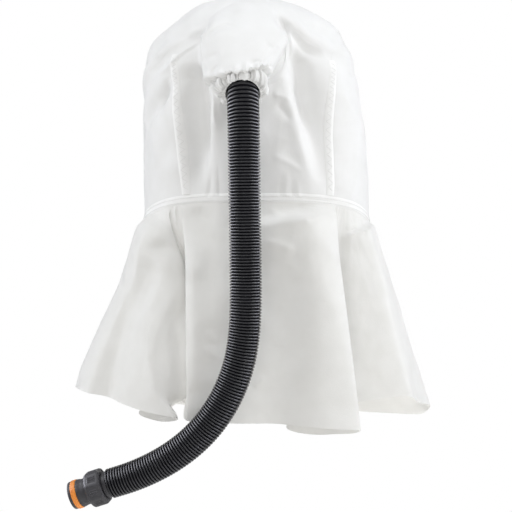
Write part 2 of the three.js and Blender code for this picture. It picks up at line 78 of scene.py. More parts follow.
ring_stretch_reach = 0.035
ring_samples = 8
ring_steepness = 1.2
ring_crown = 0.08
ring_slant = 0.42
ring_slant_reach = 0.018
groove_gloss = 0.03
crest_coat = (0.5, 0.95)
crest_coat_index = 1.65
crest_coat_rough = 0.27
handling_range = (0.35, 0.7)
hose_sides = 48


def smooth_through(knots, values, at):
    """Cubic through values at rising knots, each with the slope of the parabola through its neighbours."""
    knots = np.asarray(knots, dtype=float)
    values = np.asarray(values, dtype=float)
    at = np.asarray(at, dtype=float)
    slopes = np.gradient(values, knots, axis=0)
    i = np.clip(np.searchsorted(knots, at, side="right") - 1, 0, len(knots) - 2)
    spread = (...,) + (None,) * (values.ndim - 1)
    span = (knots[i + 1] - knots[i])[spread]
    t = (at - knots[i])[spread] / span
    start = values[i] * (1 + 2 * t) * (1 - t) ** 2
    end = values[i + 1] * t ** 2 * (3 - 2 * t)
    return start + end + span * t * (1 - t) * (slopes[i] * (1 - t) - slopes[i + 1] * t)


def chord_knots(points):
    """Knots of a curve through points: the running sum of the square roots of the steps between them."""
    steps = np.linalg.norm(np.diff(points, axis=0), axis=1)
    return np.concatenate([[0], np.cumsum(np.sqrt(steps))])


def unit(vectors):
    """Vectors divided by their lengths."""
    return vectors / np.linalg.norm(vectors, axis=-1, keepdims=True)


def carried_profile(centres, tangents, radii, sides, upright=(0, 1, 0)):
    """Rings carried along a path: centre + radius * (cos a * far + sin a * side).

    Far is the upright way made square to the path. The radii are one for each row, or for each row and side.
    """
    side = unit(np.cross(upright, tangents))
    far = np.cross(tangents, side)
    turn = np.linspace(0, 2 * np.pi, sides, endpoint=False)[None, :, None]
    spoke = np.cos(turn) * far[:, None] + np.sin(turn) * side[:, None]
    return centres[:, None] + radii.reshape(len(centres), -1, 1) * spoke


def grid_piece(name, points, material, loop_columns=False, loop_rows=False, pole=None):
    """Object of a grid of points, rows by columns, with its columns or rows joined into loops where asked.

    Faces point out where a step down the rows crossed with a step along the columns points out. A pole
    closes the first row with a fan of triangles.
    """
    rows, columns = points.shape[:2]
    i, j = np.meshgrid(np.arange(columns - 1 + loop_columns), np.arange(rows - 1 + loop_rows))
    corner_i = np.stack([i, i, i + 1, i + 1], axis=-1)
    corner_j = np.stack([j, j + 1, j + 1, j], axis=-1)
    places = points.reshape(-1, 3)
    quads = (corner_j % rows) * columns + corner_i % columns
    corners = quads.ravel()
    starts = np.arange(0, corners.size, 4)
    if pole is not None:
        around = np.arange(columns)
        fan = np.stack([np.full(columns, len(places)), around, (around + 1) % columns], axis=-1)
        starts = np.concatenate([starts, corners.size + np.arange(0, fan.size, 3)])
        corners = np.concatenate([corners, fan.ravel()])
        places = np.concatenate([places, [pole]])
    mesh = bpy.data.meshes.new(name)
    mesh.vertices.add(len(places))
    mesh.vertices.foreach_set("co", places.ravel())
    mesh.loops.add(len(corners))
    mesh.loops.foreach_set("vertex_index", corners)
    mesh.polygons.add(len(starts))
    mesh.polygons.foreach_set("loop_start", starts)
    mesh.update(calc_edges=True)
    mesh.shade_smooth()
    mesh.materials.append(material)
    piece = bpy.data.objects.new(name, mesh)
    bpy.context.scene.collection.objects.link(piece)
    return piece


def node_group(name, inputs, outputs):
    """Shader node group with float inputs, each a name and a value, float outputs, and its two end nodes."""
    group = bpy.data.node_groups.new(name, "ShaderNodeTree")
    for socket, value in inputs.items():
        entry = group.interface.new_socket(socket, in_out="INPUT", socket_type="NodeSocketFloat")
        entry.default_value = value
    for socket in outputs:
        group.interface.new_socket(socket, in_out="OUTPUT", socket_type="NodeSocketFloat")
    return group, group.nodes.new("NodeGroupInput"), group.nodes.new("NodeGroupOutput")


def feed(node, **inputs):
    """Sets inputs of a node, named with _ for a space, each to a value or to the socket it is fed from."""
    for name, value in inputs.items():
        socket = node.inputs[name.replace("_", " ")]
        if isinstance(value, bpy.types.NodeSocket):
            node.id_data.links.new(value, socket)
        else:
            socket.default_value = value


def blended(tree, factor, low, high):
    """Colour socket that goes from one colour to another as a factor goes from 0 to 1."""
    mix = tree.nodes.new("ShaderNodeMix")
    mix.data_type = "RGBA"
    feed(mix, A=(*low, 1), B=(*high, 1), Factor=factor)
    return mix.outputs["Result"]


def ranged(tree, value, low, high, to_low, to_high):
    """Value moved in a straight line from one range to another and held at its ends."""
    ramp = tree.nodes.new("ShaderNodeMapRange")
    feed(ramp, From_Min=low, From_Max=high, To_Min=to_low, To_Max=to_high, Value=value)
    return ramp.outputs["Result"]


def bumped(tree, height, distance, normal=None):
    """Normal socket of a surface raised by a height from 0 to 1 times a distance."""
    bump = tree.nodes.new("ShaderNodeBump")
    feed(bump, Distance=distance, Height=height)
    if normal:
        feed(bump, Normal=normal)
    return bump.outputs["Normal"]


def new_material(name):
    """Material with its node tree and its Principled shader."""
    material = bpy.data.materials.new(name)
    material.use_nodes = True
    return material, material.node_tree, material.node_tree.nodes["Principled BSDF"]


def noise(tree, detail, scale):
    """Noise node over the object, from 0 to 1. Its scale, in waves a metre, is a number or a socket."""
    texture = tree.nodes.new("ShaderNodeTexNoise")
    place = tree.nodes.new("ShaderNodeTexCoord").outputs["Object"]
    feed(texture, Vector=place, Detail=detail, Scale=scale)
    return texture


# Moulded grain: a fine pebble of the mould, and a broad unevenness from handling and dust.
moulded_grain, grain_in, grain_out = node_group(
    "moulded_grain", {"Pebble Scale": 1600, "Handling Scale": 75}, ("Pebble", "Handling"))
for effect, detail in {"Pebble": 2, "Handling": 3}.items():
    grain = noise(moulded_grain, detail, grain_in.outputs[f"{effect} Scale"])
    moulded_grain.links.new(grain.outputs["Fac"], grain_out.inputs[effect])


def moulded_material(name, clean, handled, smooth, rough, pebble):
    """Moulded rubber or plastic, coloured and roughened by its handling and raised by the mould's pebble."""
    material, tree, shader = new_material(name)
    grain = tree.nodes.new("ShaderNodeGroup")
    grain.node_tree = moulded_grain
    handling = ranged(tree, grain.outputs["Handling"], *handling_range, 0, 1)
    feed(shader, Base_Color=blended(tree, handling, clean, handled),
         Roughness=ranged(tree, handling, 0, 1, smooth, rough),
         Normal=bumped(tree, grain.outputs["Pebble"], pebble))
    return material


hose_rubber = moulded_material(
    "hose_rubber", (0.008, 0.008, 0.011), (0.013, 0.013, 0.017), 0.24, 0.36, 0.00002)

fine_knots = chord_knots(hose_route)
fine_line = smooth_through(fine_knots, hose_route, np.linspace(0, fine_knots[-1], hose_samples))
fine_steps = np.linalg.norm(np.diff(fine_line, axis=0), axis=1)
fine_along = np.concatenate([[0], np.cumsum(fine_steps)])
hose_length = fine_along[-1]
rings_per_metre = 1 / (ring_pitch + ring_stretch * np.exp(-fine_along / ring_stretch_reach))
ring_count = np.concatenate([[0], np.cumsum(fine_steps * rings_per_metre[1:])])
whole_rings = int(ring_count[-1])
ring_phase = np.arange(whole_rings * ring_samples + 1) / ring_samples
hose_along = np.interp(ring_phase * ring_count[-1] / whole_rings, ring_count, fine_along)


def hose_at(along):
    """Points and unit tangents of the hose's centre line at distances along it."""
    points = np.stack([np.interp(along, fine_along, fine_line[:, axis]) for axis in range(3)], axis=-1)
    slopes = np.gradient(fine_line, fine_along, axis=0)
    tangents = np.stack([np.interp(along, fine_along, slopes[:, axis]) for axis in range(3)], axis=-1)
    return points, unit(tangents)


hose_centres, hose_tangents = hose_at(hose_along)
ring_wave = np.abs(np.sin(np.pi * ring_phase))
ring_shape = (1 - ring_crown) * np.minimum(ring_steepness * ring_wave, 1) + ring_crown * ring_wave
taper = np.clip((hose_along - hose_taper_start) / (hose_length - hose_taper_start), 0, 1)
hose_outside = hose_groove + (hose_crest - hose_groove) * ring_shape - hose_end_taper * taper
hose_turn = np.linspace(0, 2 * np.pi, hose_sides, endpoint=False)
slant = ring_slant * np.exp(-np.maximum(hose_along - ring_slant_reach, 0) / ring_slant_reach)
ring_shift = (slant * hose_outside)[:, None] * np.cos(hose_turn)
back_up = slice(None, None, -ring_samples)
bore_radii = np.full(whole_rings + 1, hose_bore)
hose_points = np.concatenate([
    carried_profile(hose_centres, hose_tangents, hose_outside, hose_sides)
    + ring_shift[..., None] * hose_tangents[:, None],
    carried_profile(hose_centres[back_up], hose_tangents[back_up], bore_radii, hose_sides),
])
hose = grid_piece("breathing_hose", hose_points, hose_rubber, loop_columns=True, loop_rows=True)
crest_share = hose.data.attributes.new("crest_share", "FLOAT", "POINT")
crest_by_row = np.append(ring_shape, np.zeros(whole_rings + 1))
crest_share.data.foreach_set("value", np.repeat(crest_by_row, hose_sides))
rubber_tree = hose_rubber.node_tree
rubber_shader = rubber_tree.nodes["Principled BSDF"]
crest_place = rubber_tree.nodes.new("ShaderNodeAttribute")
crest_place.attribute_name = "crest_share"
feed(rubber_shader, Coat_Weight=ranged(rubber_tree, crest_place.outputs["Fac"], *crest_coat, 0, 1),
     Specular_IOR_Level=groove_gloss, Coat_IOR=crest_coat_index, Coat_Roughness=crest_coat_rough)
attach(hose, "root")
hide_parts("hose")


# Coupling: a short neck on the hose's end, an octagonal grip nut with finger ribs, and a turned spigot with
# an orange sealing ring in its groove. Neck, nut and spigot are moulded in charcoal plastic, the ring in
# rubber. The neck is bonded to the hose's end, and the nut holds the spigot to it.
neck_length = 0.0052
neck_radius = 0.0155
grip_start = 0.0055
grip_length = 0.0205
grip_flats = 0.0405
grip_bore = 0.0145
grip_corner = 1.055
grip_shoulder = 0.0175
grip_rib_pitch = math.radians(7)
grip_rib_count = 3
grip_rib_height = 0.0007
grip_rib_steepness = 1.4
grip_rib_sink = 0.2
grip_rib_span = (0.004, 0.0155)
grip_rib_fade = 0.001
spigot_start = 0.0263
spigot_length = 0.0215
spigot_radius = 0.0165
spigot_bore = 0.0125
ring_start = 0.0378
ring_length = 0.0063
ring_radius = 0.0171
ring_seat = 0.0151
ring_play = 0.0001
corner_share = 0.45
corner_points = 4
coupling_sides = 96
coupling_crease = math.radians(50)

fitting_plastic = moulded_material(
    "fitting_plastic", (0.034, 0.033, 0.038), (0.05, 0.049, 0.055), 0.42, 0.55, 0.00005)
seal_rubber = moulded_material("seal_rubber", (0.78, 0.24, 0.03), (0.84, 0.3, 0.05), 0.35, 0.5, 0.00001)

hose_end, hose_end_tangent = (value[0] for value in hose_at(np.array([hose_length])))


def softened(outline, radius):
    """Closed outline with each corner cut by a short arc, on the parabola between its two sides."""
    corners = np.asarray(outline, dtype=float)
    before = np.roll(corners, 1, axis=0) - corners
    after = np.roll(corners, -1, axis=0) - corners
    reach_before = np.minimum(radius, corner_share * np.linalg.norm(before, axis=1, keepdims=True))
    reach_after = np.minimum(radius, corner_share * np.linalg.norm(after, axis=1, keepdims=True))
    t = np.linspace(0, 1, corner_points)[None, :, None]
    start = (corners + unit(before) * reach_before)[:, None]
    end = (corners + unit(after) * reach_after)[:, None]
    return ((1 - t) ** 2 * start + 2 * t * (1 - t) * corners[:, None] + t ** 2 * end).reshape(-1, 2)


def turned_piece(name, outline, material, edge, radius_at=None):
    """Piece turned about the hose's end axis from a closed outline of distance along it and radius.

    The outline runs outside first, away from the hose. radius_at changes the radii by distance and angle.
    """
    along, radius = softened(outline, edge).T
    centres = hose_end + along[:, None] * hose_end_tangent
    tangents = np.broadcast_to(hose_end_tangent, centres.shape)
    turn = np.linspace(0, 2 * np.pi, coupling_sides, endpoint=False)
    radii = np.broadcast_to(radius[:, None], (len(radius), coupling_sides))
    if radius_at:
        radii = radius_at(along[:, None], radii, turn[None, :])
    points = carried_profile(centres, tangents, radii, coupling_sides)
    piece = grid_piece(name, points, material, loop_columns=True, loop_rows=True)
    piece.data.set_sharp_from_angle(angle=coupling_crease)
    return piece


def grip_radius(along, radius, turn):
    """Octagon with rounded corners, and three raised finger ribs on each of its flats.

    The octagon is 1 / cos of the angle from a flat's middle, cut off at the corners. The ribs are the tops
    of a cosine across the flat.
    """
    flat_turn = (turn + np.pi / 8) % (np.pi / 4) - np.pi / 8
    octagon = np.minimum(1 / np.cos(flat_turn), grip_corner)
    across = flat_turn / grip_rib_pitch
    rib = np.clip(grip_rib_steepness * np.cos(2 * np.pi * across) - grip_rib_sink, 0, 1)
    rib = rib * (np.abs(across) < grip_rib_count / 2)
    begin, end = (grip_start + edge for edge in grip_rib_span)
    middle = np.clip((along - begin) / grip_rib_fade, 0, 1) * np.clip((end - along) / grip_rib_fade, 0, 1)
    outside = np.clip((radius - grip_shoulder) / grip_rib_fade, 0, 1)
    return radius * (1 + (octagon - 1) * outside) + grip_rib_height * rib * middle * outside


neck = turned_piece("hose_neck", [
    (0.0003, neck_radius), (neck_length, neck_radius), (neck_length, grip_bore), (0.0003, grip_bore),
], fitting_plastic, 0.0006)
grip_end = grip_start + grip_length
grip_out = grip_flats / 2
grip_rows = np.linspace(grip_start + 0.0045, grip_end - 0.0035, 14)
grip_nut = turned_piece("grip_nut", [
    (grip_start, 0.0178), (grip_start + 0.0012, 0.0195), (grip_start + 0.003, grip_out),
    *[(along, grip_out) for along in grip_rows],
    (grip_end - 0.0022, grip_out - 0.0004), (grip_end, grip_out - 0.0022),
    (grip_end, spigot_bore), (grip_start, spigot_bore),
], fitting_plastic, 0.0007, grip_radius)
spigot_end = spigot_start + spigot_length
ring_end = ring_start + ring_length
ring_floor = ring_seat - ring_play
spigot = turned_piece("spigot", [
    (spigot_start, spigot_radius - 0.0009), (spigot_start + 0.006, spigot_radius - 0.0009),
    (ring_start - 0.0018, spigot_radius), (ring_start - ring_play, spigot_radius),
    (ring_start - ring_play, ring_floor), (ring_end + ring_play, ring_floor),
    (ring_end + ring_play, spigot_radius), (spigot_end, spigot_radius - 0.0002),
    (spigot_end, spigot_bore), (spigot_start, spigot_bore),
], fitting_plastic, 0.0005)
sealing_ring = turned_piece("sealing_ring", [
    (ring_start, ring_radius), (ring_end, ring_radius), (ring_end, ring_seat), (ring_start, ring_seat),
], seal_rubber, 0.0011)
coupling_pieces = {
    "hose_cuff": neck, "coupling_grip": grip_nut,
    "coupling_spigot": spigot, "coupling_gasket": sealing_ring,
}
for node, piece in coupling_pieces.items():
    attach(piece, "root")
    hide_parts(node)


# Crown: the cap of white laminated cloth over the head, cut in one piece, eased and sewn onto the wall.
# Its rim rolls over the wall at the back in a soft brow, with a tuck under it.
cloth = 0.0012
cloth_sheen = 0.08
cloth_gloss = 0.15
cloth_rough_spread = 0.06
cloth_mottle_range = (0.3, 0.7)
cut_edge_share = 0.3
cut_edge_angle = math.radians(60)
hood_levels = {
    "z": (1.2, 0.4, -3, -12, -31, -54, -84, -121, -180, -240),
    "left": (0, 38, 60, 78, 102, 128, 136, 137, 137, 137),
    "right": (0, 26, 42, 65, 99, 113, 126, 133, 142, 143),
    "back": (0, 34, 52, 72, 93, 106, 113, 116, 116, 114),
    "front": (0, 40, 62, 84, 112, 132, 147, 156, 160, 158),
    "drop": (0, 0, 0, 0, 0, 2, 8, 24, 54, 80),
}
hood_squareness = 2.3
hood_least = 1e-5
neck_level = 9
wall_radius = 0.122
crown_rim = {
    "angle": (-180, -125, -90, -60, -36, 0, 18, 26, 35, 48, 62, 85, 125, 180),
    "z": (-100, -116, -112, -77, -47, -31, -31, -40, -56, -66, -71, -78, -108, -100),
}
hood_crumple = 0.0011
hood_crumple_seed = 3
hood_handled = (-0.58, -0.28)
hood_handled_reach = 0.05
hood_folded = (0.05, 0.25)
fold_samples = 41
crumple_lengths = (0.13, 0.1, 0.08, 0.062, 0.047)
crumple_stretch = 2.3
crumple_bend = 1.4
crumple_middle = 0.64
brow_roll = 0.0035
brow_above = 0.009
brow_below = 0.009
brow_spread = 0.009
Dent = namedtuple("Dent", "angle z length width lean out")
hood_dents = (
    Dent(-33, -150, 68, 15, 3, -14),
    Dent(-23, -148, 56, 9, -11, 7),
    Dent(30, -128, 58, 12, 12, -13),
    Dent(24, -158, 55, 10, 16, 3),
    Dent(-5, -165, 60, 30, 0, 4),
    Dent(-62, -127, 36, 10, -55, -7),
    Dent(-68, -52, 30, 13, 40, -4),
    Dent(44, -38, 30, 12, -48, -2),
)

# Cloth finish: short matted fibres under a thin coat, a broad unevenness, and the fine creases of handling.
finish_scales = {"Fibre Scale": 900, "Mottle Scale": 45, "Crease Scale": 22}
cloth_finish, finish_in, finish_out = node_group(
    "cloth_finish", finish_scales, ("Fibre", "Mottle", "Crease"))
for effect, detail in {"Fibre": 3, "Mottle": 4, "Crease": 2}.items():
    finish = noise(cloth_finish, detail, finish_in.outputs[f"{effect} Scale"])
    finish.noise_type = "RIDGED_MULTIFRACTAL" if effect == "Crease" else "FBM"
    cloth_finish.links.new(finish.outputs["Fac"], finish_out.inputs[effect])


def cloth_material(name, light, dark, rough, fibre, crumpled, creased=0.0):
    """White cloth, coloured and roughened by its mottle, and raised by mottle, creases and fibres."""
    material, tree, shader = new_material(name)
    finish = tree.nodes.new("ShaderNodeGroup")
    finish.node_tree = cloth_finish
    mottle = ranged(tree, finish.outputs["Mottle"], *cloth_mottle_range, 0, 1)
    rumpled = bumped(tree, finish.outputs["Mottle"], crumpled)
    handled = bumped(tree, finish.outputs["Crease"], creased, rumpled)
    feed(shader, Base_Color=blended(tree, mottle, dark, light),
         Roughness=ranged(tree, mottle, 0, 1, rough + cloth_rough_spread, rough),
         Normal=bumped(tree, finish.outputs["Fibre"], fibre, handled),
         Sheen_Weight=cloth_sheen, Specular_IOR_Level=cloth_gloss)
    return material


hood_cloth = cloth_material(
    "hood_cloth", (0.86, 0.86, 0.86), (0.835, 0.835, 0.83), 0.68, 0.00015, 0.0003, 0.005)

Fold = namedtuple("Fold", "line out left right power start end", defaults=(2, 0.3, 0.3))


def fold_heights(folds, x, z):
    """Height of folds at places seen from behind: out * exp(-(d / width) ** power) for each fold, added up.

    d is the distance across the fold's line, with a width for each side of it. A fold fades in and out over
    the start and end shares of its line. Its lengths are in millimetres.
    """
    height = np.zeros(np.broadcast(x, z).shape)
    steps = np.linspace(0, 1, fold_samples)
    for fold in folds:
        line = mm * smooth_through(np.linspace(0, 1, len(fold.line)), fold.line, steps)
        tangent = np.gradient(line, steps, axis=0)
        dx = x[..., None] - line[:, 0]
        dz = z[..., None] - line[:, 1]
        near = np.argmin(dx ** 2 + dz ** 2, axis=-1)
        dx = np.take_along_axis(dx, near[..., None], axis=-1)[..., 0]
        dz = np.take_along_axis(dz, near[..., None], axis=-1)[..., 0]
        tx, tz = tangent[near, 0], tangent[near, 1]
        speed = np.hypot(tx, tz)
        across = (dx * tz - dz * tx) / speed
        t = np.clip(steps[near] + (dx * tx + dz * tz) / speed ** 2, 0, 1)
        fade = np.clip(t / fold.start, 0, 1) * np.clip((1 - t) / fold.end, 0, 1)
        width = mm * np.where(across < 0, fold.right, fold.left)
        bell = np.exp(-(np.abs(across) / width) ** fold.power)
        height += mm * fold.out * fade ** 2 * (3 - 2 * fade) * bell
    return height


def crumple(a, b, seed, height):
    """Unevenness of handled cloth: waves of several lengths added up, the longer ones higher.

    A wave is |sin| of the distance in a random direction, bent by a longer sine across that direction.
    """
    draw = np.random.default_rng(seed)
    total = np.zeros(np.broadcast(a, b).shape)
    for length in crumple_lengths:
        way, phase, bend = draw.uniform(0, 2 * np.pi, 3)
        along = 2 * np.pi / length * (a * np.cos(way) + b * np.sin(way))
        across = 2 * np.pi / (crumple_stretch * length) * (b * np.cos(way) - a * np.sin(way))
        wave = np.abs(np.sin((along + phase) / 2 + crumple_bend * np.sin(across + bend)))
        total += length / crumple_lengths[0] * (crumple_middle - wave)
    return height * total


def sine_cosine(degrees):
    """Sine and cosine of an angle in degrees."""
    return np.sin(np.radians(degrees)), np.cos(np.radians(degrees))


def half_turn(angle):
    """Angle in degrees brought to the range from -180 to 180."""
    return (angle + 180) % 360 - 180


def rim_height(angle):
    """Height of the crown's rim at an angle from the back, on the cubic through its table."""
    return mm * smooth_through(crown_rim["angle"], crown_rim["z"], half_turn(angle))


def hood_point(angle, level, folds=()):
    """Hood's outer surface at an angle from the back, in degrees, and a level from the crown's top down.

    Each level is a rounded square, reach = (|sin / side|^n + |cos / depth|^n)^(-1/n). To the reach are added
    the dents, each a bell over its length and width, the brow's roll and tuck, the folds and the crumple.
    """
    levels = np.arange(neck_level + 1)
    row = {column: mm * smooth_through(levels, values, level) for column, values in hood_levels.items()}
    sine, cosine = sine_cosine(angle)
    side = np.maximum(np.where(sine < 0, row["left"], row["right"]), hood_least)
    depth = np.maximum(np.where(cosine > 0, row["back"], row["front"]), hood_least)
    power = hood_squareness
    reach = (np.abs(sine / side) ** power + np.abs(cosine / depth) ** power) ** (-1 / power)
    z = row["z"]
    folded = fold_heights(folds, reach * sine, z + 0 * reach) * np.interp(cosine, hood_folded, (0, 1))
    handled = np.interp(cosine, hood_handled, (0, 1)) * np.clip(reach / hood_handled_reach, 0, 1)
    crumpled = crumple(np.radians(angle) * wall_radius, z, hood_crumple_seed, hood_crumple)
    folded = folded + crumpled * handled
    for dent in hood_dents:
        across = np.radians(half_turn(angle - dent.angle)) * wall_radius
        down = mm * dent.z - z
        lean = math.radians(dent.lean)
        length = (down * math.cos(lean) + across * math.sin(lean)) / (mm * dent.length)
        width = (across * math.cos(lean) - down * math.sin(lean)) / (mm * dent.width)
        reach = reach + mm * dent.out * np.exp(-length ** 2 - width ** 2)
    over_rim = z - rim_height(angle)
    roll = np.exp(-((over_rim - brow_above) / brow_spread) ** 2)
    tuck = np.exp(-((over_rim + brow_below) / brow_spread) ** 2)
    reach = reach + brow_roll * (1 + cosine) / 2 * (roll - tuck) + folded
    forward = (1 - cosine) / 2
    drop = row["drop"] * forward ** 2 * (3 - 2 * forward)
    return np.stack([reach * sine, -reach * cosine, z - drop], axis=-1)


fine_levels = np.linspace(0, neck_level, 3000)
fine_heights = mm * smooth_through(np.arange(neck_level + 1), hood_levels["z"], fine_levels)
crown_top, neck_height = fine_heights[0], fine_heights[-1]


def level_at_height(z):
    """Level whose section has this height at the back."""
    return np.interp(-np.asarray(z), -fine_heights, fine_levels)


def walled(piece, thickness):
    """Gives a sheet its thickness, inwards from the surface, and softens its cut edges."""
    solidify = piece.modifiers.new("thickness", "SOLIDIFY")
    solidify.thickness = thickness
    solidify.offset = -1
    edge = piece.modifiers.new("cut_edge", "BEVEL")
    edge.width = cut_edge_share * thickness
    edge.segments = 2
    edge.limit_method = "ANGLE"
    edge.angle_limit = cut_edge_angle
    edge.harden_normals = True
    return piece


def outward_normals(points):
    """Unit normals of a grid of points: a step down the rows crossed with a step along the columns."""
    return unit(np.cross(np.gradient(points, axis=0), np.gradient(points, axis=1)))


hood_folds = (
    # Over the crown: the roll of its rim on both sides, and hollows beside it.
    Fold([(24, -16), (33, -24), (44, -38), (63, -58), (89, -67)], 3.5, 4, 14, 1.4),
    Fold([(70, -37), (86, -47), (101, -60)], -3, 6, 9),
    Fold([(-126, -55), (-100, -49), (-70, -43)], -5, 9, 7),
    Fold([(-58, -50), (-76, -62), (-88, -70), (-101, -83), (-122, -102)], 3, 8, 3),
    Fold([(-118, -70), (-112, -90)], -2, 8, 8),
    Fold([(30, -30), (42, -45), (60, -66), (86, -77)], -1.5, 4, 3, 1.6),
    # Left of the hose: the deep hollow, the ridges beside it and the slanting fold on the side panel.
    Fold([(-73, -80), (-73, -130), (-70, -185), (-68, -240)], -15, 12, 20, 2.4, 0.15, 0.5),
    Fold([(-47, -104), (-45, -130), (-41, -165)], 4, 5, 4, 1.4),
    Fold([(-37, -108), (-37, -150)], 3, 4, 5, 1.4),
    Fold([(-102, -94), (-110, -116), (-121, -150)], -6, 3, 4, 1.4, 0.4, 0.4),
    Fold([(-118, -110), (-122, -150), (-119, -190)], 2, 6, 6, 1.5),
    # Right of the hose: the long hollow under the rim, the ridge along it and crumples.
    Fold([(52, -60), (58, -84), (64, -114), (70, -134), (78, -172), (80, -215)],
         -12, 12, 18, 2, 0.2, 0.4),
    Fold([(44, -100), (49, -140), (53, -176), (63, -209), (79, -228), (95, -240)],
         1.5, 14, 9, 1.7, 0.3, 0.2),
    Fold([(42, -36), (44, -55), (47, -80)], 4, 4, 5, 1.5),
    Fold([(18, -190), (37, -197), (59, -211)], 2, 6, 4, 1.3),
    Fold([(20, -120), (32, -122), (45, -128)], 3, 4, 6, 1.3),
    Fold([(25, -129), (35, -138), (44, -152)], -3, 5, 5, 1.5),
    # Small puckers that rise from the neck seam.
    Fold([(-43, -190), (-41, -239)], -2, 3, 6, 1.5, 0.7, 0.05),
    Fold([(-50, -205), (-55, -239)], -2, 4, 5, 1.5, 0.7, 0.05),
    Fold([(34, -205), (30, -239)], -0.7, 3, 4, 1.5, 0.8, 0.05),
    Fold([(39, -200), (37, -239)], 0.7, 3, 3, 1.5, 0.8, 0.05),
    Fold([(43, -206), (45, -239)], -0.7, 3, 4, 1.5, 0.8, 0.05),
    Fold([(49, -212), (53, -239)], 0.7, 3, 4, 1.5, 0.8, 0.05),
)
crown_columns = 320
crown_rows = 72
crown_first_row = 0.015
crown_crowding = 1.5

crown_angle = np.linspace(-180, 180, crown_columns, endpoint=False)[None, :]
crown_share = np.linspace(crown_first_row, 1, crown_rows)[:, None]
crown_level = (1 - (1 - crown_share) ** crown_crowding) * level_at_height(rim_height(crown_angle))
crown_points = hood_point(crown_angle + 0 * crown_level, crown_level, hood_folds)
crown = grid_piece("crown_cloth", crown_points, hood_cloth, loop_columns=True, pole=(0, 0, crown_top))
walled(crown, cloth)
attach(crown, "root")
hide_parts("crown")


# Wall: a back panel and two side panels of the same cloth, sewn to the crown above and to the cape below.
# The back hangs in upright hollows on both sides of the hose, where the cloth is pushed in behind the head.
back_seams = {
    "level": (4, 5.4, 6.8, 7.7, 9),
    "left": (-48, -47.5, -46, -43.5, -39),
    "right": (52, 51, 46, 44, 43.5),
}
visor_edge = 128
sewn_gap = 0.0005
wall_crowding = 1.2
seam_rounds = 12


def seam_edge(side):
    """Edge of a panel along a back seam: its angle at a level, on the cubic through the seam's table."""
    return lambda level: smooth_through(back_seams["level"], back_seams[side], level)


def fixed_edge(angle):
    """Edge of a panel that stays at one angle."""
    return lambda level: angle + 0 * np.asarray(level, dtype=float)


def seam_top(edge_at):
    """Angle where an edge meets the crown's rim, closing in on it from the neck."""
    angle = edge_at(neck_level)
    for _ in range(seam_rounds):
        angle = edge_at(level_at_height(rim_height(angle)))
    return angle


def wall_panel(left_at, right_at, columns, rows, folds):
    """Panel of the wall between two edges, each an angle by level, from the crown's rim to the neck seam.

    Its rows go down as v^n of the way, so they are a little closer under the rim.
    """
    u = np.linspace(0, 1, columns)[None, :]
    v = np.linspace(0, 1, rows)[:, None]
    left_top = seam_top(left_at)
    right_top = seam_top(right_at)

    def level_below(top):
        """Levels from the rim at an angle down to the neck."""
        high = level_at_height(rim_height(top))
        return high + (neck_level - high) * v ** wall_crowding

    left = left_at(level_below(left_top))
    right = right_at(level_below(right_top))
    level = level_below(left_top + (right_top - left_top) * u)
    return hood_point(left + (right - left) * u, level, folds)


left_seam = seam_edge("left")
right_seam = seam_edge("right")
wall_panels = {
    "back_panel": (left_seam, right_seam, 170, 130, (0.215, 0.2), 0.0427),
    "side_panel_left": (fixed_edge(-visor_edge), left_seam, 110, 110, (0.23, 0.175), 0.0351),
    "side_panel_right": (right_seam, fixed_edge(visor_edge), 110, 110, (0.23, 0.19), 0.0387),
}
for node, (left_at, right_at, columns, rows, flat, area) in wall_panels.items():
    points = wall_panel(left_at, right_at, columns, rows, hood_folds)
    piece = walled(grid_piece(f"{node}_cloth", points, hood_cloth), cloth)
    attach(piece, "root")
    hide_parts(node)


# Visor: a window of clear plastic film, die cut and bent round the face. It is sewn in between the side
# panels, under the crown's rim and down to the neck seam.
visor_film = 0.0009
visor_alpha = 0.3
visor_handled = (0.3, 0.7)
visor_rough = (0.04, 0.12)

visor_plastic, visor_tree, visor_shader = new_material("visor_plastic")
visor_grain = visor_tree.nodes.new("ShaderNodeGroup")
visor_grain.node_tree = moulded_grain
visor_handling = visor_grain.outputs["Handling"]
feed(visor_shader, Base_Color=blended(visor_tree, visor_handling, (0.8, 0.86, 0.88), (0.86, 0.9, 0.91)),
     Roughness=ranged(visor_tree, visor_handling, *visor_handled, *visor_rough), Alpha=visor_alpha)

visor_points = wall_panel(fixed_edge(visor_edge), fixed_edge(360 - visor_edge), 90, 70, ())
visor = walled(grid_piece("visor_film", visor_points, visor_plastic), visor_film)
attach(visor, "root")
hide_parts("visor")


# Seam tapes: white woven tape, laid over each back seam from the crown's rim to the neck band. It is sewn
# down through the cloth with a zigzag of white thread.
tape_width = 0.010
tape_lift = 0.001
tape_sheet = 0.0005
tape_edge_power = 3
thread_radius = 0.0003
thread_sides = 6
zigzag_reach = 0.0028
zigzag_leg = 0.0042
leg_samples = 10
stitch_arch = 1.9
stitch_depth = 1.1
band_height = 0.0112

seam_tape_cloth = cloth_material(
    "seam_tape_cloth", (0.93, 0.93, 0.925), (0.9, 0.9, 0.895), 0.6, 0.0002, 0.0001)
sewing_thread = cloth_material(
    "sewing_thread", (0.84, 0.84, 0.835), (0.79, 0.79, 0.785), 0.5, 0.0001, 0.0001)


def hood_outward(angle, level, turn=0.2, step=0.02):
    """Unit normal of the hood's surface: a small step down it crossed with a small turn round it."""
    along = hood_point(angle + turn, level, hood_folds) - hood_point(angle - turn, level, hood_folds)
    down = hood_point(angle, level + step, hood_folds) - hood_point(angle, level - step, hood_folds)
    return unit(np.cross(down, along))


